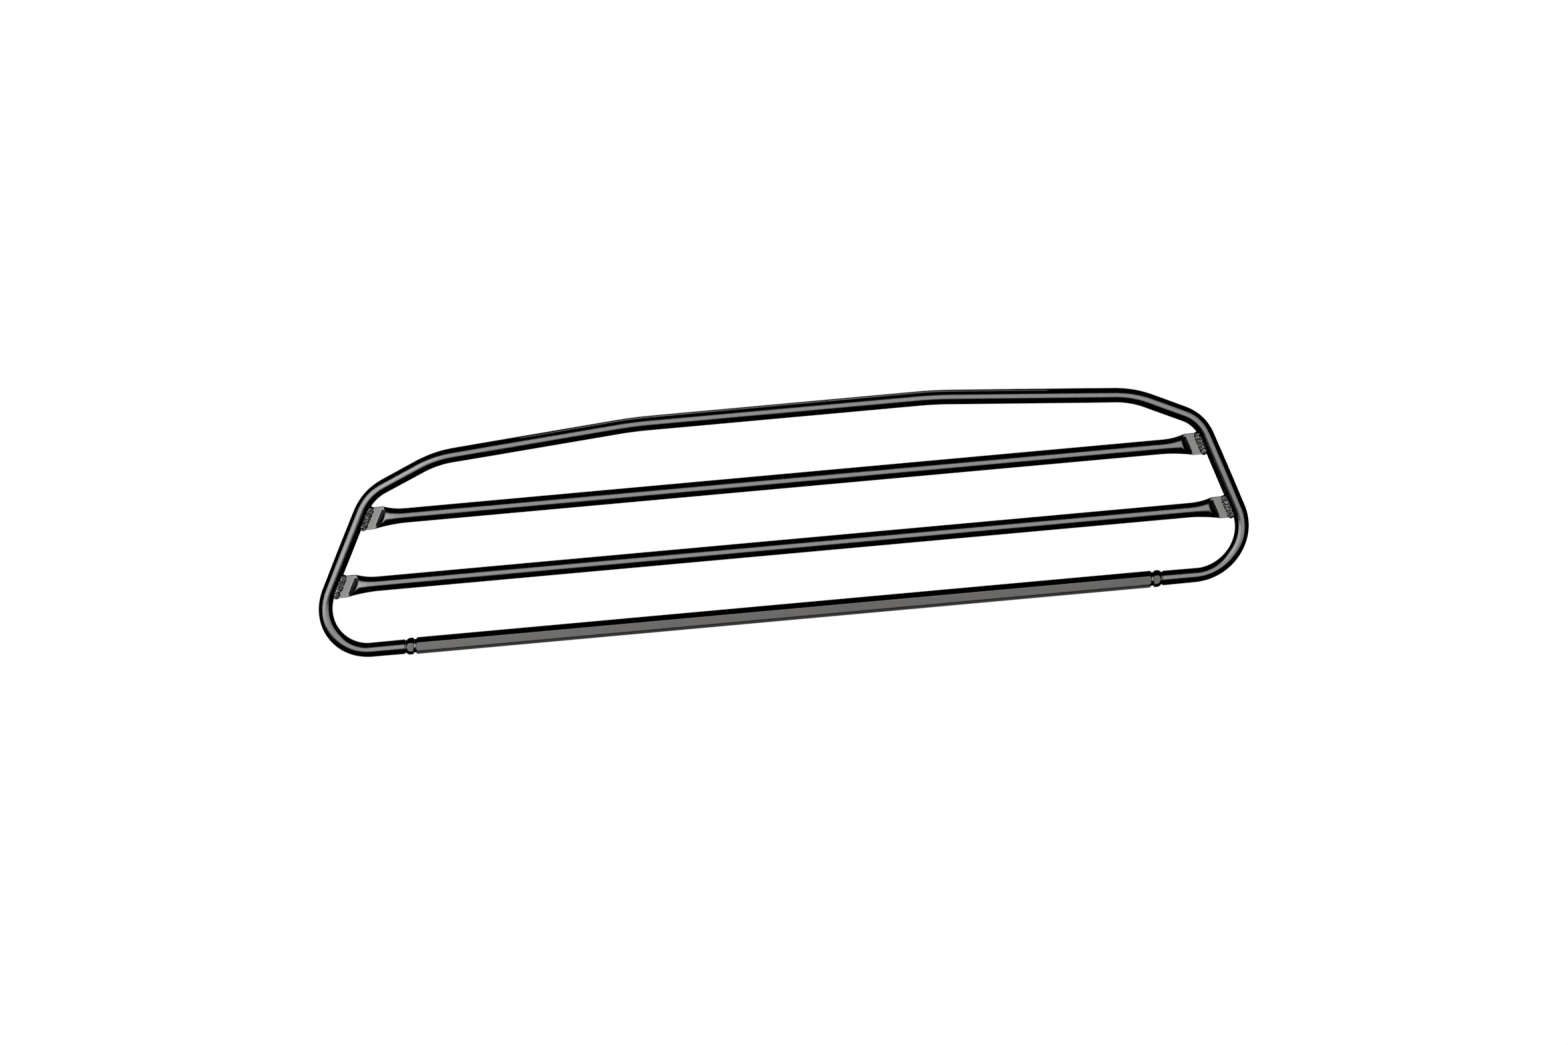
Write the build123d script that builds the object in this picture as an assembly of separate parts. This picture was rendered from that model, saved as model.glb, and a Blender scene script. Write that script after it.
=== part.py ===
from build123d import *
import math
import os

# Folding luggage rack, lying open as it is used. X runs along the hinge bar, Y from the bar
# across the rack and Z up. The origin is the middle of the bar's lower flat. Sizes are in mm.

# Stock
tube_diameter = 12.7
tube_wall = 1.2
bar_across_flats = 13.0
bar_length = 633.6

# Outline of the bent tube, measured on its centreline
rack_depth = 176.4        # hinge axis to the middle of the top run
top_drop = 13.7           # top run down to the crown corner
crown_drop = 26.8         # crown corner down to the shoulder corner
crown_run = 169.7         # crown corner to the end of the top run, along X
shoulder_run = 58.5       # shoulder corner to crown corner, along X
leg_lean = 22.7           # degrees that a leg leans inwards
foot_straight = 28.8      # straight tube between a pivot and its corner bend
corner_radius = 39.0
shoulder_radius = 39.0
crown_radius = 86.0
top_radius = 358.0

# Crossbars: round tubes with both ends pressed flat
shoulder_to_upper_bar = 20.8
crossbar_spacing = 57.6
seam_gap = 0.2            # left between the two walls of a pressed end
pad_length = 10.1         # flat part, from the leg's side to the crease
ramp_length = 6.0         # crease to the deep oval behind it
ramp_width = 16.8
ramp_depth = 10.2
flare_length = 24.0       # crease to the fully round tube

# Pivots, one at each end of the bar
hinge_gap = 2.1
end_float = 0.1           # axial play between bush flange and collar
collar_length = 6.0
collar_land = 3.8         # part of the collar that is a full hexagon
collar_nose_step = 0.3    # collar's small end below its flats
spigot_clearance = 0.05
spigot_length = 18.0
journal_diameter = 7.0
journal_length = 14.0     # part of the journal inside the bar
running_clearance = 0.05
bush_wall = 1.0
bush_length = 13.0        # part of the bush inside the bar
flange_step = 0.55        # flange rim below the bar's flats
tip_room = 3.0            # past the journal's end, inside the bore
bar_chamfer = 0.9         # along X, on the bar's corners
bar_end_step = 0.3        # bar's end face below its flats

# Welds
ring_weld_width = 1.8     # between the tube's end and the collar
ring_weld_recess = 0.7    # its surface below the tube's
bead_radius = 2.6
bead_out = 1.2            # bead centre from the tube's side
bead_up = 1.2             # bead centre above the pad's face
bead_overrun = 1.2        # past each side of the pad

tube_radius = tube_diameter / 2
bore_radius = tube_radius - tube_wall
flat_radius = bar_across_flats / 2
corner_reach = flat_radius / math.cos(math.radians(30))
hinge_height = flat_radius
spigot_radius = bore_radius - spigot_clearance
journal_radius = journal_diameter / 2
bush_bore_radius = journal_radius + running_clearance
bush_radius = bush_bore_radius + bush_wall
flange_radius = flat_radius - flange_step
pad_width = math.pi / 2 * (tube_diameter - tube_wall) + tube_wall
pad_thickness = 2 * tube_wall + seam_gap

# Stations along X, from the middle of the bar outwards
bar_end = bar_length / 2
collar_start = bar_end + hinge_gap
collar_end = collar_start + collar_length
tube_end = collar_end + ring_weld_width
bend_start = tube_end + foot_straight

# Corners of the outline
corner_turn = math.radians(90 + leg_lean)
corner_x = bend_start + corner_radius * math.tan(corner_turn / 2)
shoulder_y = rack_depth - top_drop - crown_drop
shoulder_x = corner_x - shoulder_y * math.tan(math.radians(leg_lean))
crown_y = rack_depth - top_drop
crown_x = shoulder_x - shoulder_run
top_x = crown_x - crown_run
upper_bar_y = shoulder_y - shoulder_to_upper_bar
lower_bar_y = upper_bar_y - crossbar_spacing


def tube_path():
    """Centreline of the bent tube: straight runs joined by tangent arcs, from pivot to pivot."""
    half = [
        (tube_end, 0),
        (corner_x, 0),
        (shoulder_x, shoulder_y),
        (crown_x, crown_y),
        (top_x, rack_depth),
    ]
    right = [(x, y, hinge_height) for x, y in half]
    left = [(-x, y, hinge_height) for x, y in reversed(half)]
    bends = [corner_radius, shoulder_radius, crown_radius, top_radius]
    return FilletPolyline(*right, *left, radius=bends + bends[::-1])


def leg_at(y):
    """Where the right leg's centreline passes y: its x, and its lean from the Y axis in degrees."""
    arc_top = corner_radius * (1 - math.cos(corner_turn))
    if y < arc_top:
        rise = corner_radius - y
        x = bend_start + math.sqrt(corner_radius**2 - rise**2)
        return x, -math.degrees(math.asin(rise / corner_radius))
    return corner_x - y * math.tan(math.radians(leg_lean)), leg_lean


def across_x(x):
    """Plane square to the hinge axis, with its own x along Y."""
    return Plane(origin=(x, 0, hinge_height), x_dir=(0, 1, 0), z_dir=(1, 0, 0))


def rod(x0, x1, radius):
    """Round rod on the hinge axis."""
    return extrude(across_x(x0) * Circle(radius), amount=x1 - x0)


def taper(x0, radius0, x1, radius1):
    """Cone frustum on the hinge axis."""
    return loft([across_x(x0) * Circle(radius0), across_x(x1) * Circle(radius1)])


def hexagon(x0, x1):
    """Hexagonal rod on the hinge axis, with level flats above and below."""
    outline = RegularPolygon(flat_radius, 6, major_radius=False)
    return extrude(across_x(x0) * outline, amount=x1 - x0)


def outer_tube():
    """The bent tube and, for coping what meets it, the same tube without its bore."""
    path = tube_path()
    start = Plane(origin=path @ 0, z_dir=path % 0)
    solid = sweep(start * Circle(tube_radius), path=path)
    bore = sweep(start * Circle(bore_radius), path=path)
    return solid - bore, solid


def pressed_half(y, inset):
    """Right half of a crossbar's skin at y, drawn in by inset: round tube, flare, ramp and pad."""
    leg_x, lean = leg_at(y)
    slant = math.radians(lean)
    along_leg = (-math.sin(slant), math.cos(slant), 0)
    outwards = (math.cos(slant), math.sin(slant), 0)
    crease_x = leg_x - (tube_radius + pad_length) / math.cos(slant)

    def oval(x, width, depth):
        place = Plane(origin=(x, y, hinge_height), x_dir=along_leg, z_dir=outwards)
        return place * SlotOverall(width / math.cos(slant) - 2 * inset, depth - 2 * inset)

    round_x = crease_x - flare_length
    middle = Plane(origin=(0, y, hinge_height), x_dir=(0, 1, 0), z_dir=(1, 0, 0))
    ring = Circle(tube_radius - inset)
    pad_face = oval(crease_x, pad_width, pad_thickness)
    ramp_face = oval(crease_x - ramp_length, ramp_width, ramp_depth)
    tube_face = middle.offset(round_x) * ring
    half = extrude(middle * ring, amount=round_x)
    half += loft([tube_face, ramp_face], ruled=True)
    half += loft([ramp_face, pad_face], ruled=True)
    half += extrude(pad_face, amount=leg_x - crease_x, dir=(1, 0, 0))
    return half


def crossbar(y, tube_body):
    """Crossbar with both ends pressed flat and coped to the legs, and its right half without a bore."""
    skin = pressed_half(y, 0)
    half = skin - pressed_half(y, tube_wall) - tube_body
    return half + mirror(half, about=Plane.YZ), skin


def hex_bar():
    """Hexagonal bar with turned ends, each bored for a bush."""
    turned_end = bar_end - bar_chamfer
    envelope = rod(-turned_end, turned_end, corner_reach)
    half_bore = rod(bar_end - journal_length - tip_room, bar_end, bush_radius)
    end = taper(turned_end, corner_reach, bar_end, flat_radius - bar_end_step)
    envelope += end + mirror(end, about=Plane.YZ)
    return (hexagon(-bar_end, bar_end) & envelope) - half_bore - mirror(half_bore, about=Plane.YZ)


def pivot_bush():
    """Flanged bush: barrel pressed into the bar, flange in the gap between bar and collar."""
    barrel = rod(bar_end - bush_length, bar_end, bush_radius)
    flange = rod(bar_end, collar_start - end_float, flange_radius)
    return barrel + flange - rod(bar_end - bush_length, collar_start, bush_bore_radius)


def pivot_fitting():
    """Journal, hexagonal collar with a conical nose, and spigot, turned from one hexagonal bar."""
    land_end = collar_start + collar_land
    nose = taper(land_end, corner_reach, collar_end, flat_radius - collar_nose_step)
    collar = hexagon(collar_start, collar_end) & (rod(collar_start, land_end, corner_reach) + nose)
    journal = rod(bar_end - journal_length, collar_start, journal_radius)
    spigot = rod(collar_end, tube_end + spigot_length, spigot_radius)
    return journal + collar + spigot


def ring_weld():
    """Weld round the spigot, sunk in the neck between the collar's nose and the tube's end."""
    bead = rod(collar_end, tube_end, tube_radius - ring_weld_recess)
    return bead - rod(collar_end, tube_end, spigot_radius)


def end_weld(y, side, skin, tube_body):
    """Fillet bead between a pad and the right leg; side is +1 on the upper face, -1 on the lower."""
    leg_x, lean = leg_at(y)
    slant = math.radians(lean)
    centre_x = leg_x - (tube_radius + bead_out) / math.cos(slant)
    centre_z = hinge_height + side * (pad_thickness / 2 + bead_up)
    place = Pos(centre_x, y, centre_z) * Rot(0, 0, lean)
    reach = pad_width / math.cos(slant) / 2 + bead_overrun - bead_radius
    bead = Rot(90, 0, 0) * Cylinder(bead_radius, 2 * reach)
    bead += Pos(0, reach, 0) * Sphere(bead_radius)
    bead += Pos(0, -reach, 0) * Sphere(bead_radius)
    return place * bead - tube_body - skin


def save(name, part):
    """Writes one named piece."""
    part.label = name
    export_step(part, f"parts/{name}.step")


os.makedirs("parts", exist_ok=True)

tube, tube_body = outer_tube()
save("outer_tube", tube)
save("hex_bar", hex_bar())

for level, y in (("upper", upper_bar_y), ("lower", lower_bar_y)):
    bar, skin = crossbar(y, tube_body)
    save(f"{level}_crossbar", bar)
    for face, side in (("top", 1), ("bottom", -1)):
        weld = end_weld(y, side, skin, tube_body)
        save(f"{level}_right_weld_{face}", weld)
        save(f"{level}_left_weld_{face}", mirror(weld, about=Plane.YZ))

for name, part in (
    ("pivot_fitting", pivot_fitting()),
    ("pivot_bush", pivot_bush()),
    ("pivot_weld", ring_weld()),
):
    save(f"right_{name}", part)
    save(f"left_{name}", mirror(part, about=Plane.YZ))
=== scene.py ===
import math

import bpy
import numpy as np
from mathutils import Matrix, Vector


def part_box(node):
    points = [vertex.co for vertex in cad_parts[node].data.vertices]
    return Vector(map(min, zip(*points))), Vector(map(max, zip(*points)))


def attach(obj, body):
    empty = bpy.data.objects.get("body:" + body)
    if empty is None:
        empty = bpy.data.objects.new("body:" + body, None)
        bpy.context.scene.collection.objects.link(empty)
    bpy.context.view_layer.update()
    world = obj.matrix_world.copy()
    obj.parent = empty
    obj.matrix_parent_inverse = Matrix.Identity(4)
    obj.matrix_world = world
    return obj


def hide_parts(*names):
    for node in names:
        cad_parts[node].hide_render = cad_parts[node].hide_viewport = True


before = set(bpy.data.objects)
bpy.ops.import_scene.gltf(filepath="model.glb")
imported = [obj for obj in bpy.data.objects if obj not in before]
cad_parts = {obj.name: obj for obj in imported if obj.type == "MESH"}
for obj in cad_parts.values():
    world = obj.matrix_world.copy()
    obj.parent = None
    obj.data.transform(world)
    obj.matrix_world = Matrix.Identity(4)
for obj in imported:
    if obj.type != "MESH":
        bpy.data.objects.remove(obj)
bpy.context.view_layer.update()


# ---- Bent outer tube --------------------------------------------------------------------
# One length of welded steel tube, bent cold from pivot to pivot, so its tight bends are a
# little oval. It carries a satin black powder coat with a fine orange peel.

tube_low, tube_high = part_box("outer_tube")
tube_radius = (tube_high.z - tube_low.z) / 2
tube_wall = 0.0012
hinge_z = (tube_high.z + tube_low.z) / 2
tube_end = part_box("right_pivot_weld")[1].x
rack_depth = tube_high.y - tube_radius
leg_lean = math.radians(22.7)
foot_straight = 0.0288
corner_radius = 0.039
shoulder_radius = 0.039
crown_radius = 0.086
top_radius = 0.358
top_drop = 0.0137
crown_drop = 0.0268
crown_run = 0.1697
shoulder_run = 0.0585
ring_step = 0.008         # between rings on a straight run
bend_step = 0.0015        # between rings in a bend
bend_squash = 0.05        # lost across the tube in the tightest bend

bend_start = tube_end + foot_straight
corner_x = bend_start + corner_radius * math.tan(math.pi / 4 + leg_lean / 2)
shoulder_y = rack_depth - top_drop - crown_drop
shoulder_x = corner_x - shoulder_y * math.tan(leg_lean)
crown_x = shoulder_x - shoulder_run
outline = [
    (tube_end, 0),
    (corner_x, 0),
    (shoulder_x, shoulder_y),
    (crown_x, rack_depth - top_drop),
    (crown_x - crown_run, rack_depth),
]


def bent_path(corners, radii):
    """Straight runs joined by tangent arcs. An arc starts radius * tan(turn / 2) before its corner,
    and its centre is one radius to the left. Gives the points and their curvature."""
    corners = np.array(corners, float)
    points, bend = [], []
    start = corners[0]
    for before, corner, after, radius in zip(corners, corners[1:], corners[2:], radii):
        way_in = (corner - before) / np.linalg.norm(corner - before)
        way_out = (after - corner) / np.linalg.norm(after - corner)
        turn = math.acos(way_in @ way_out)
        reach = radius * math.tan(turn / 2)
        arc_start = corner - way_in * reach
        count = max(2, round(np.linalg.norm(arc_start - start) / ring_step))
        points.append(start + np.linspace(0, 1, count, endpoint=False)[:, None] * (arc_start - start))
        bend.append(np.zeros(count))
        count = round(radius * turn / bend_step)
        angle = np.linspace(0, turn, count, endpoint=False)[:, None]
        left = np.array([-way_in[1], way_in[0]])
        points.append(arc_start + radius * (np.sin(angle) * way_in + (1 - np.cos(angle)) * left))
        bend.append(np.full(count, 1 / radius))
        start = corner + way_out * reach
    count = max(2, round(np.linalg.norm(corners[-1] - start) / ring_step))
    points.append(start + np.linspace(0, 1, count)[:, None] * (corners[-1] - start))
    bend.append(np.zeros(count))
    return np.concatenate(points), np.concatenate(bend)


def skin(name, rings, loop=False):
    """Skins a stack of closed rings, an array of (rings, points, 3), with quads. The stack ends in
    flat caps, or with loop its last ring joins its first. Faces point outwards."""
    count, around = rings.shape[:2]
    index = np.arange(count * around).reshape(count, around)
    beside = np.roll(index, -1, axis=1)
    if loop:
        near, near_beside = index, beside
        far, far_beside = np.roll(index, -1, axis=0), np.roll(beside, -1, axis=0)
    else:
        near, near_beside = index[:-1], beside[:-1]
        far, far_beside = index[1:], beside[1:]
    faces = np.stack([near, near_beside, far_beside, far], axis=-1).reshape(-1, 4).tolist()
    if not loop:
        faces += [index[0, ::-1].tolist(), index[-1].tolist()]
    mesh = bpy.data.meshes.new(name)
    mesh.from_pydata(rings.reshape(-1, 3), [], faces)
    corner = rings[:, :, None]
    flux = np.cross(np.roll(corner, -1, axis=1) - corner, np.roll(corner, -1, axis=0) - corner)
    outward = corner - rings.mean(axis=1)[:, None, None]
    if not loop:
        flux, outward = flux[:-1], outward[:-1]
    if (flux * outward).sum() < 0:
        mesh.flip_normals()
    mesh.shade_smooth()
    mesh.set_sharp_from_angle(angle=math.radians(50))
    piece = bpy.data.objects.new(name, mesh)
    bpy.context.scene.collection.objects.link(piece)
    return piece


def bent_tube(name):
    """Carries a ring along the path. In a bend the ring is squashed across and spread upright, by the
    curvature smoothed over a few rings. The bore runs back inside, so the wall is real."""
    mirrored = [(-x, y) for x, y in reversed(outline)]
    bends = [corner_radius, shoulder_radius, crown_radius, top_radius]
    centre, bend = bent_path(outline + mirrored, bends + bends[::-1])
    soft = np.convolve(np.pad(bend, 3, mode="edge"), np.ones(7) / 7, mode="valid")
    squash = bend_squash * soft * corner_radius
    along = np.gradient(centre, axis=0)
    along /= np.linalg.norm(along, axis=1)[:, None]
    across = np.stack([-along[:, 1], along[:, 0], np.zeros(len(along))], axis=1)
    middle = np.column_stack([centre, np.full(len(centre), hinge_z)])
    angle = np.linspace(0, 2 * math.pi, 72, endpoint=False)

    def rings(radius):
        wide = radius * (1 - squash)[:, None, None] * np.cos(angle)[None, :, None]
        tall = radius * (1 + squash / 3)[:, None, None] * np.sin(angle)[None, :, None]
        return middle[:, None] + wide * across[:, None] + tall * np.array([0, 0, 1.0])

    outside = rings(tube_radius)
    inside = rings(tube_radius - tube_wall)[::-1]
    return skin(name, np.concatenate([outside, inside]), loop=True)


class Signal:
    """An output socket that takes part in arithmetic: + and * each add a Math node."""

    def __init__(self, tree, socket=None):
        self.tree = tree
        self.socket = socket

    def node(self, kind, settings=(), inputs=(), output=0):
        """Adds a node, sets its settings, then fills its inputs with values or links. Gives one output."""
        made = self.tree.nodes.new(kind)
        for key, value in dict(settings).items():
            setattr(made, key, value)
        for key, value in dict(inputs).items():
            if isinstance(value, Signal):
                self.tree.links.new(value.socket, made.inputs[key])
            else:
                made.inputs[key].default_value = value
        return Signal(self.tree, made.outputs[output] if made.outputs else None)

    def math(self, operation, left, right):
        return self.node("ShaderNodeMath", {"operation": operation}, {0: left, 1: right})

    def __add__(self, other):
        return self.math("ADD", self, other)

    def __mul__(self, other):
        return self.math("MULTIPLY", self, other)

    __radd__ = __add__
    __rmul__ = __mul__


drift_scale = 28.0        # lumps to the metre in each layer of the coat's noise
peel_scale = 850.0
grain_scale = 2600.0
speck_scale = 1500.0
roughness_drift = 0.05    # each way
speck_gain = 2.2          # of the palest speck over the coat's colour


def noise(base, place, scale, detail=2.0):
    """Noise from 0 to 1 with this many lumps to the metre."""
    inputs = {"Vector": place, "Scale": scale, "Detail": detail}
    return base.node("ShaderNodeTexNoise", inputs=inputs, output="Fac")


def powder_coat(name, colour, roughness, peel, grain, shine=0.5):
    """Powder coat. Roughness drifts over some centimetres, peel is the height in metres of an orange
    peel a little over 1 mm across, and grain that of the fine grit in the powder."""
    material = bpy.data.materials.new(name)
    material.use_nodes = True
    tree = material.node_tree
    tree.nodes.clear()
    base = Signal(tree)
    place = base.node("ShaderNodeTexCoord", output="Object")
    drift = noise(base, place, drift_scale)
    relief = peel * noise(base, place, peel_scale) + grain * noise(base, place, grain_scale, 1.0)
    bump = base.node(
        "ShaderNodeBump", inputs={"Height": relief, "Distance": 1.0, "Strength": 1.0}, output="Normal"
    )
    speck = noise(base, place, speck_scale, 0.0)
    tint = base.node(
        "ShaderNodeMix",
        {"data_type": "RGBA"},
        {"Factor": drift * speck, "A": (*colour, 1), "B": (*[speck_gain * c for c in colour], 1)},
        output="Result",
    )
    coat = base.node(
        "ShaderNodeBsdfPrincipled",
        inputs={
            "Base Color": tint,
            "Roughness": roughness - roughness_drift + drift * (2 * roughness_drift),
            "Specular IOR Level": shine,
            "Normal": bump,
        },
    )
    base.node("ShaderNodeOutputMaterial", inputs={"Surface": coat})
    return material


def fit(piece, node, body, material):
    """Gives a piece its finish and puts it in a CAD node's place."""
    piece.data.materials.append(material)
    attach(piece, body)
    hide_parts(node)


coat_black = (0.0012, 0.0012, 0.0012)
tube_coat = powder_coat("tube_powder_coat", coat_black, roughness=0.19, peel=2.2e-5, grain=5e-6)
fit(bent_tube("bent_tube"), "outer_tube", "frame", tube_coat)


# ---- Crossbars --------------------------------------------------------------------------
# Two lengths of the same tube. Each end is pressed flat in a die with its edge parallel to
# the leg, which leaves a pad, a sharp crease, a short steep ramp and a flare.

seam_gap = 0.0002
pad_length = 0.0101
ramp_reach = 0.0068       # from the crease to where the ramp has eased into the flare
ramp_ease = 1.6           # above 1, steepest at the crease
side_sharpness = 30.0     # of the turn from the pad's face to its sides
crest_dip = 0.0009        # crest of the flare below the tube's, at the crease
crease_rounding = 0.00025
flare_length = 0.024      # crease to the fully round tube
slant_fade = 0.022        # from the crease to where a section is square to the tube
fine_rings = 0.0002       # between rings on the crease and the ramp
fine_from, fine_to = -0.0015, 0.009
flare_rings = 0.001       # between rings on the flare
side_crowding = 0.3       # draws the points of a ring towards the pad's thin sides
pad_width = math.pi / 2 * (2 * tube_radius - tube_wall) + tube_wall
pad_half_depth = tube_wall + seam_gap / 2


def leg_at(y):
    """The right leg's centreline at y: its x and its lean, on the straight leg or in the corner bend."""
    if y < corner_radius * (1 + math.sin(leg_lean)):
        rise = corner_radius - y
        return bend_start + math.sqrt(corner_radius**2 - rise**2), -math.asin(rise / corner_radius)
    return corner_x - y * math.tan(leg_lean), leg_lean


def pressed_tube(name, y):
    """Rings along X. d is the distance behind the crease, softened to stay above 0 on the pad, and
    left = 1 - d / flare. The flare is an ellipse whose half width grows with left^2 while its crest
    sinks. The ramp climbs from the pad's face to it as 1 - (1 - d / reach)^ease, so it is steepest at
    the crease. At the pad's sides the two meet in a soft minimum, (a^-p + b^-p)^(-1/p). Rings are sheared
    to lie along the leg near the crease."""
    leg_x, lean = leg_at(y)
    crease = leg_x - (tube_radius + pad_length) / math.cos(lean)
    pad_end = (pad_length + tube_wall / 2) / math.cos(lean)
    back = np.concatenate(
        [
            np.linspace(-pad_end, fine_from - 0.0005, 6),
            np.arange(fine_from, fine_to, fine_rings),
            np.arange(fine_to, flare_length, flare_rings),
            np.linspace(flare_length, crease, 24),
        ]
    )
    near = np.minimum((back + np.sqrt(back**2 + crease_rounding**2)) / 2, flare_length)
    left = 1 - near / flare_length
    half_width = tube_radius + (pad_width / 2 - tube_radius) * left**2
    crest = tube_radius - crest_dip * left**2
    fade = np.clip(back / slant_fade, 0, 1)
    shear = math.tan(lean) * (1 - fade**2 * (3 - 2 * fade))
    even = np.linspace(0, 2 * math.pi, 120, endpoint=False)
    angle = even - side_crowding * np.sin(2 * even)
    across = half_width[:, None] * np.cos(angle)
    flare = crest[:, None] * np.abs(np.sin(angle)) + 1e-6
    pad = flare / (1 + (flare / pad_half_depth) ** side_sharpness) ** (1 / side_sharpness)
    climb = 1 - np.clip(1 - near / ramp_reach, 0, 1)[:, None] ** ramp_ease
    up = (pad + climb * (flare - pad)) * np.sign(np.sin(angle))
    along = (crease - back)[:, None] - across * shear[:, None]
    right = np.stack([along, y + across, hinge_z + up], axis=-1)
    left_half = right[::-1][1:] * np.array([-1.0, 1.0, 1.0])
    return skin(name, np.concatenate([right, left_half]))


crossbar_heights = {}
for level in ("upper", "lower"):
    low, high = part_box(f"{level}_crossbar")
    crossbar_heights[level] = (low.y + high.y) / 2
    bar = pressed_tube(f"{level}_cross_tube", crossbar_heights[level])
    fit(bar, f"{level}_crossbar", "frame", tube_coat)


# ---- Weld beads at the crossbar ends ----------------------------------------------------
# A hand-laid fillet along each face of a pad, where it meets the leg. The puddle freezes in
# overlapping scales with pits between them, and the powder coat bridges the finest ones.

bead_half_width = 0.0032  # along the fillet's face
bead_half_height = 0.0016
bead_face_tilt = math.radians(33)
bead_out = 0.0014         # bead centre from the leg's side
bead_up = 0.0008          # bead centre above the pad's face
bead_overrun = 0.0004     # past each side of the pad
scale_pitch = 0.0033
scale_slant = 0.8         # pitches that a scale runs along while it crosses half the bead
pit_depth = 0.0009
pit_width = 0.42
lump_height = 0.0002
swell_range = (700, 2600) # radians to the metre, from the longest wave to the shortest
bead_points = 96          # in a ring
bead_rings = 260


def weld_bead(name, centre, out, up, pitch, slant, pits, lumps, seed, loop=False):
    """Carries an ellipse along a path; out and up are its half axes. A pit, exp(-(f / width)^2), is
    cut wherever f passes 0, deepest on the outer side. f is the sine of half the distance along in pitches,
    less slant times the place across, and of random waves that also swell the bead."""
    draw = np.random.default_rng(seed)
    step = np.linalg.norm(np.diff(centre, axis=0), axis=1)
    run = np.concatenate([[0], np.cumsum(step)])[:, None]
    angle = np.linspace(0, 2 * math.pi, bead_points, endpoint=False)
    around = 2 * math.pi / (run[-1, 0] + step[0])
    swell = np.zeros((len(centre), bead_points))
    for _ in range(6):
        waves, turns = draw.uniform(*swell_range), draw.integers(-4, 5)
        waves = round(waves / around) * around
        swell += np.sin(run * waves + turns * angle + draw.uniform(0, 6)) / 2.4
    pairs = round(math.pi / around / pitch)
    phase = run * around / math.pi * pairs - slant * np.cos(angle) + 0.3 * swell
    f = np.sin(math.pi * phase) + 0.2 * swell
    pit = np.exp(-((f / pit_width) ** 2)) * (0.6 + 0.4 * np.cos(angle))
    taper = np.ones((len(centre), 1))
    if not loop:
        taper = (1 - np.linspace(-1, 1, len(centre))[:, None] ** 8) ** 0.5 + 0.02
    grow = taper * (1 + (lumps * swell - pits * pit) / np.linalg.norm(up, axis=-1).max())
    wide = (grow * np.cos(angle))[..., None] * out[..., None, :]
    tall = (grow * np.sin(angle))[..., None] * up[..., None, :]
    return skin(name, centre[:, None] + wide + tall, loop)


weld_coat = powder_coat("weld_powder_coat", coat_black, roughness=0.3, peel=2.2e-5, grain=5e-6)
seed = 0
for level, y in crossbar_heights.items():
    leg_x, lean = leg_at(y)
    half_length = pad_width / math.cos(lean) / 2 + bead_overrun
    spread = np.linspace(-half_length, half_length, bead_rings)[:, None]
    for hand, mirror in (("left", -1), ("right", 1)):
        for face, up in (("top", 1), ("bottom", -1)):
            seed += 1
            inwards = np.array([-mirror * math.cos(lean), -math.sin(lean), 0])
            above = np.array([0, 0, up])
            middle = np.array([mirror * leg_x, y, hinge_z]) + above * (pad_half_depth + bead_up)
            middle = middle + np.array([-mirror, 0, 0]) * (tube_radius + bead_out) / math.cos(lean)
            centre = middle + spread * np.array([-mirror * math.sin(lean), math.cos(lean), 0])
            out = inwards * math.cos(bead_face_tilt) - above * math.sin(bead_face_tilt)
            high = inwards * math.sin(bead_face_tilt) + above * math.cos(bead_face_tilt)
            bead = weld_bead(
                f"{level}_{hand}_bead_{face}", centre, out[None] * bead_half_width,
                high[None] * bead_half_height, scale_pitch, scale_slant, pit_depth, lump_height, seed,
            )
            fit(bead, f"{level}_{hand}_weld_{face}", "frame", weld_coat)


# ---- Hexagonal bar ----------------------------------------------------------------------
# Drawn hexagonal steel bar, the fixed member that a clamp holds by its flats. Both ends are
# turned to a shallow cone and bored for a bush, and the whole bar is powder coated.

bar_low, bar_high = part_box("hex_bar")
bar_end = bar_high.x
flat_radius = (bar_high.z - bar_low.z) / 2
corner_reach = flat_radius / math.cos(math.pi / 6)
bar_chamfer = 0.0009
bar_end_step = 0.0003
bore_depth = 0.017
bore_radius = 0.00455
edge_power = 56.0         # higher is sharper; this is an edge radius of about 0.6 mm
bore_edge = 0.0002        # broken edge at the mouth of the bore
end_margin = 0.001        # between the last plain ring and the chamfer


def hexagonal_turning(name, stations):
    """Rings on the hinge axis, one for each (x, limit). The radius is the soft minimum of a hexagon
    and the limit that turning leaves, 1 / r = (sum of (1 / r_i)^p)^(1 / p), which rounds every edge.
    Points crowd towards the hexagon's corners."""
    stations = np.array(stations, float)
    even = np.linspace(0, 2 * math.pi, 144, endpoint=False)
    angle = even - 0.7 / 6 * np.sin(6 * even)
    flats = np.stack([np.abs(np.cos(angle - math.radians(a))) for a in (30, 90, 150)])
    hexagon = (flats**edge_power).sum(axis=0) / flat_radius**edge_power
    limit = 1 / np.maximum(stations[:, 1:], 1e-5) ** edge_power
    reach = (hexagon + limit) ** (-1 / edge_power)
    place = np.broadcast_to(stations[:, :1], reach.shape)
    rings = np.stack([place, reach * np.cos(angle), hinge_z + reach * np.sin(angle)], axis=-1)
    return skin(name, rings)


def run_of(x0, limit0, x1, limit1, count):
    """Evenly spaced stations along a cone."""
    return list(zip(np.linspace(x0, x1, count), np.linspace(limit0, limit1, count)))


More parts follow.
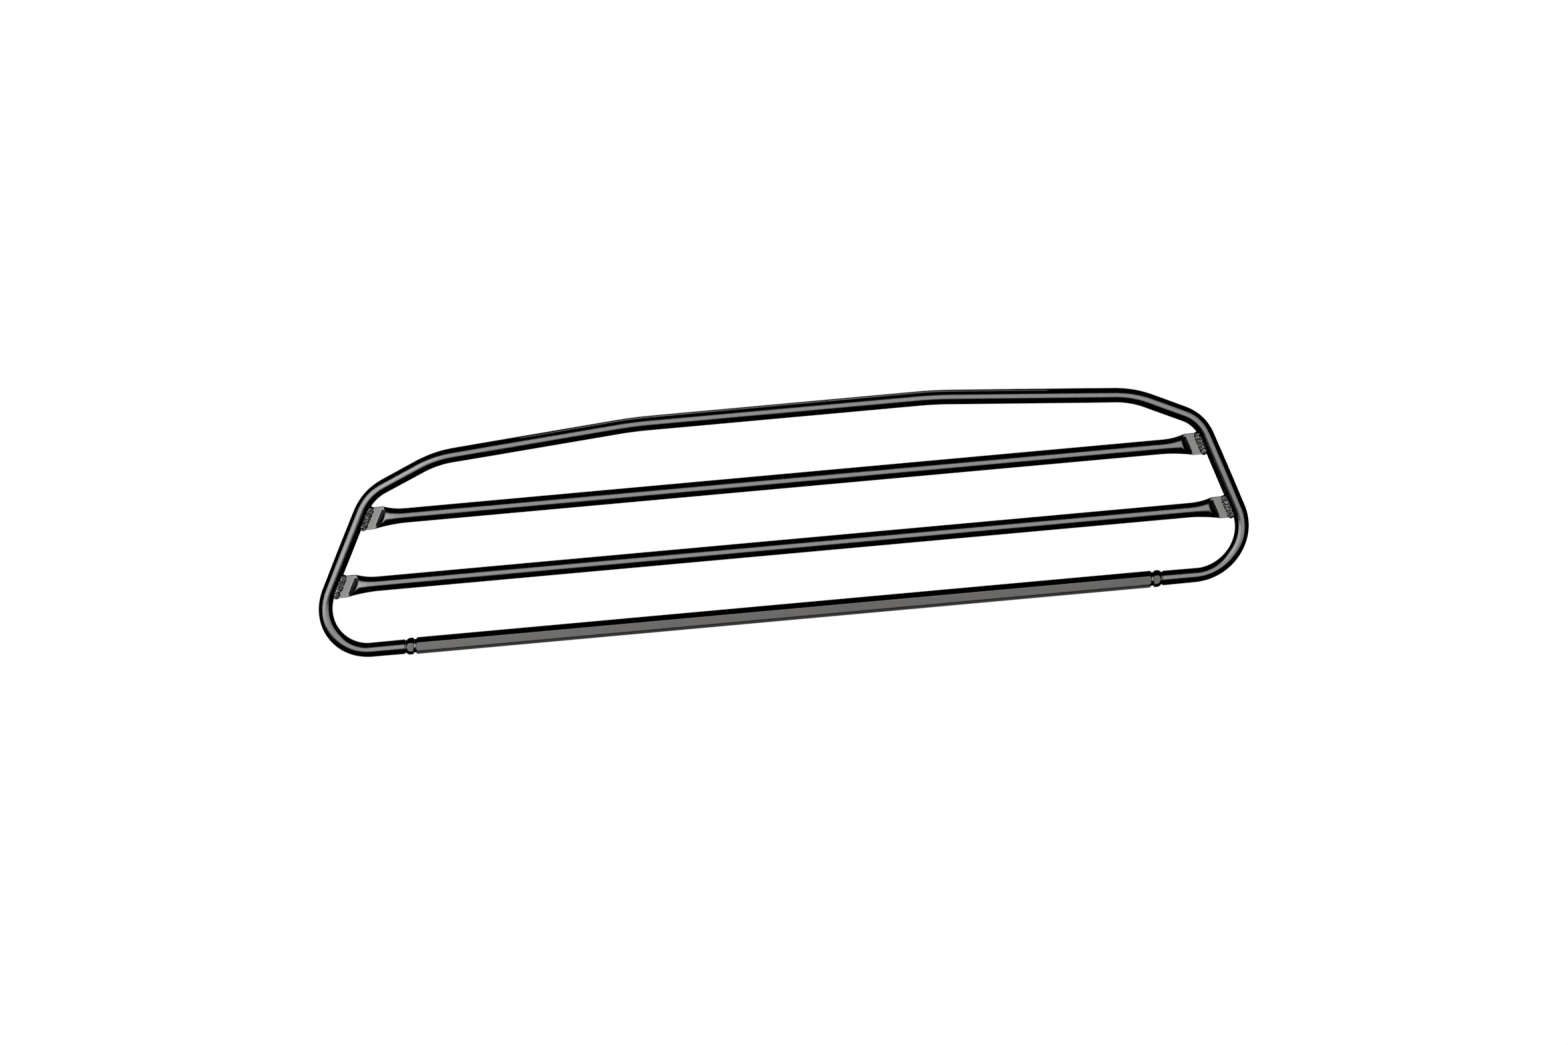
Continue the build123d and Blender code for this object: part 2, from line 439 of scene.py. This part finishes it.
clear = 1.05 * corner_reach
end_cone = run_of(bar_end - bar_chamfer, corner_reach, bar_end, flat_radius - bar_end_step, 16)
half_bar = (
    run_of(0, clear, bar_end - bar_chamfer - end_margin, clear, 30)
    + end_cone
    + [
        (bar_end, bore_radius + bore_edge),
        (bar_end - bore_edge, bore_radius),
        (bar_end - bore_depth, bore_radius),
    ]
)
bar_stations = [(-x, limit) for x, limit in reversed(half_bar[1:])] + half_bar
bar_black = (0.0012, 0.0011, 0.001)
bar_coat = powder_coat("bar_powder_coat", bar_black, roughness=0.3, peel=1.2e-5, grain=8e-6, shine=0.4)
fit(hexagonal_turning("hexagonal_bar", bar_stations), "hex_bar", "bar", bar_coat)


# ---- Pivot fittings and their bushes ----------------------------------------------------
# Each fitting is turned from the same hexagonal bar: a journal, a collar with a conical
# nose, and a spigot plugged into the tube. A black acetal bush with a flange carries it.

hinge_gap = 0.0021
ring_weld_width = 0.0018
collar_start = bar_end + hinge_gap
collar_end = tube_end - ring_weld_width
collar_land = 0.0038
nose_radius = flat_radius - 0.0003
face_step = 0.0002        # collar's inner face below its flats
face_lip = 0.00005
collar_bevel = 0.0005     # along X, on the corners at the inner face
land_margin = 0.0004      # between the last plain ring and the nose
running_clearance = 0.00005
spigot_radius = tube_radius - tube_wall - running_clearance
spigot_length = 0.018
journal_radius = 0.0035
journal_length = 0.014
flange_radius = flat_radius - 0.00055
flange_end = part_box("right_pivot_bush")[1].x
bush_length = 0.013
bush_wall = 0.001
flange_ease = 0.00025     # radius on the flange's rim


def turned(stations):
    """Rings of plain radius on the hinge axis, one for each (x, radius)."""
    stations = np.array(stations, float)
    angle = np.linspace(0, 2 * math.pi, 96, endpoint=False)
    reach = stations[:, 1:]
    place = np.broadcast_to(stations[:, :1], (len(stations), len(angle)))
    return np.stack([place, reach * np.cos(angle), hinge_z + reach * np.sin(angle)], axis=-1)


def bush_stations():
    """Round the bush's section: bore, flange face, flange rim with rounded edges, barrel, back."""
    ease = flange_ease
    bore = journal_radius + running_clearance
    barrel = bore + bush_wall
    return [
        (bar_end - bush_length, bore),
        (flange_end, bore),
        (flange_end, flange_radius - ease),
        (flange_end - ease / 3, flange_radius - ease / 3),
        (flange_end - ease, flange_radius),
        (bar_end + ease, flange_radius),
        (bar_end + ease / 3, flange_radius - ease / 3),
        (bar_end, flange_radius - ease),
        (bar_end, barrel),
        (bar_end - bush_length, barrel),
    ]


land_end = collar_start + collar_land
fitting_stations = (
    run_of(bar_end - journal_length, journal_radius, collar_start, journal_radius, 4)
    + [(collar_start, flat_radius - face_step)]
    + run_of(collar_start + face_lip, flat_radius, collar_start + collar_bevel, clear, 8)
    + run_of(collar_start + 2 * land_margin, clear, land_end - land_margin, clear, 6)
    + run_of(land_end, corner_reach, collar_end, nose_radius, 40)
    + run_of(collar_end, spigot_radius, tube_end + spigot_length, spigot_radius, 4)
)
acetal_black = (0.003, 0.003, 0.003)
bush_acetal = powder_coat("bush_acetal", acetal_black, roughness=0.2, peel=4e-6, grain=2e-6)
for hand, mirror in (("left", -1), ("right", 1)):
    stations = [(mirror * x, limit) for x, limit in fitting_stations]
    fitting = hexagonal_turning(f"{hand}_collar", stations)
    fit(fitting, f"{hand}_pivot_fitting", "frame", bar_coat)
    stations = [(mirror * x, radius) for x, radius in bush_stations()]
    bush = skin(f"{hand}_flanged_bush", turned(stations), loop=True)
    fit(bush, f"{hand}_pivot_bush", "bar", bush_acetal)


# ---- Ring welds at the pivots -----------------------------------------------------------
# One pass round the spigot, sunk in the neck between the collar's nose and the tube's end
# and dark under its coat.

ring_bead = 0.00085       # half its width
ring_recess = 0.0007      # below the tube's surface
ring_seat = tube_radius - ring_recess - ring_bead
ring_pitch = 0.0017
ring_slant = 0.3
ring_pit_depth = 0.00006
ring_lump_height = 0.00003

for hand, mirror in (("left", -1), ("right", 1)):
    turn = np.linspace(0, 2 * math.pi, 240, endpoint=False)
    radial = np.stack([np.zeros(len(turn)), np.cos(turn), np.sin(turn)], axis=-1)
    path = np.array([mirror * (collar_end + tube_end) / 2, 0, hinge_z]) + ring_seat * radial
    along = np.broadcast_to([ring_bead, 0, 0], radial.shape)
    ring = weld_bead(
        f"{hand}_ring_bead", path, radial * ring_bead, along,
        ring_pitch, ring_slant, ring_pit_depth, ring_lump_height, 40 + mirror, loop=True,
    )
    fit(ring, f"{hand}_pivot_weld", "frame", weld_coat)


# ---- Floor, light and camera ------------------------------------------------------------
# A plain white floor under the open rack, three large soft panels in an arch over it, a low
# strip of light along its back and its front, and a long lens that looks down on it from a
# little beyond its top run.

floor_half = 4.0
floor_drop = 0.0003       # below the rack, so that no face lies in the floor
floor_mesh = bpy.data.meshes.new("floor")
floor_mesh.from_pydata(
    [(x * floor_half, y * floor_half, -floor_drop) for x, y in ((-1, -1), (1, -1), (1, 1), (-1, 1))],
    [], [(0, 1, 2, 3)],
)
floor = bpy.data.objects.new("floor", floor_mesh)
bpy.context.scene.collection.objects.link(floor)
floor_paint = bpy.data.materials.new("floor_paint")
floor_paint.use_nodes = True
floor_paint.node_tree.nodes.clear()
paint = Signal(floor_paint.node_tree)
glow = paint.node("ShaderNodeEmission", inputs={"Color": (1, 1, 1, 1), "Strength": 1.0})
paint.node("ShaderNodeOutputMaterial", inputs={"Surface": glow})
floor_mesh.materials.append(floor_paint)
for ray in ("glossy", "diffuse", "shadow"):
    setattr(floor, f"visible_{ray}", False)


def soft_panel(name, target, sideways, tilt, distance, width, height, radiance):
    """A rectangular area light that faces target. It stands over it, turned sideways about Y and then
    tilted towards +Y, in degrees. Its power is pi * area * radiance."""
    lamp = bpy.data.lights.new(name, "AREA")
    lamp.shape = "RECTANGLE"
    lamp.size = width
    lamp.size_y = height
    lamp.energy = math.pi * width * height * radiance
    place = bpy.data.objects.new(name, lamp)
    turn = Matrix.Rotation(math.radians(-tilt), 4, "X") @ Matrix.Rotation(math.radians(sideways), 4, "Y")
    place.matrix_world = Matrix.Translation(target) @ turn @ Matrix.Translation((0, 0, distance))
    bpy.context.scene.collection.objects.link(place)
    return place


rack_middle = Vector((0, 0.09, 0))
soft_panel("middle_panel", rack_middle, 0, 11.6, 2.0, 1.8, 2.1, 7.0).data.color = (1, 0.98, 0.95)
soft_panel("left_panel", rack_middle, -39, 11.6, 2.0, 1.4, 2.1, 9.5)
soft_panel("right_panel", rack_middle, 38, 11.6, 2.0, 1.0, 2.1, 5.5)
soft_panel("back_strip", Vector((0, 0.204, 0)), 0, 180, 0.0002, 0.46, 0.016, 3.2).visible_camera = False
soft_panel("front_strip", Vector((0, -0.012, 0)), 0, 180, 0.0002, 0.64, 0.016, 0.4).visible_camera = False

world = bpy.data.worlds.new("room")
world.use_nodes = True
room = Signal(world.node_tree)
world.node_tree.nodes.clear()
seen = room.node("ShaderNodeLightPath", output="Is Camera Ray")
dim = room.node("ShaderNodeBackground", inputs={"Color": (1, 1, 1, 1), "Strength": 0.003})
bright = room.node("ShaderNodeBackground", inputs={"Color": (1, 1, 1, 1), "Strength": 1.0})
mixed = room.node("ShaderNodeMixShader", inputs={0: seen, 1: dim, 2: bright})
room.node("ShaderNodeOutputWorld", inputs={"Surface": mixed})
bpy.context.scene.world = world
view = bpy.context.scene.view_settings
view.view_transform = "Standard"
view.use_curve_mapping = True
view.curve_mapping.black_level = (0.009, 0.009, 0.009)

camera_distance = 4.5
camera_lean = math.radians(9.5)
camera_aim = Vector((0.0002, 0.0789, hinge_z))
camera_skew = 0.091       # climb of a level line towards the right of the view
camera_data = bpy.data.cameras.new("camera")
camera_data.sensor_width = 36
camera_data.lens = 119.65
camera_data.clip_end = 50
camera = bpy.data.objects.new("camera", camera_data)
bpy.context.scene.collection.objects.link(camera)
back = Vector((0, math.sin(camera_lean), math.cos(camera_lean)))
across = Vector((1, 0, 0))
upright = back.cross(across)
axes = Matrix((across - camera_skew * upright, upright, back)).transposed().to_4x4()
holder = bpy.data.objects.new("camera_holder", None)
bpy.context.scene.collection.objects.link(holder)
camera.parent = holder
camera.matrix_parent_inverse = Matrix.Translation(camera_aim + back * camera_distance) @ axes
bpy.context.scene.camera = camera
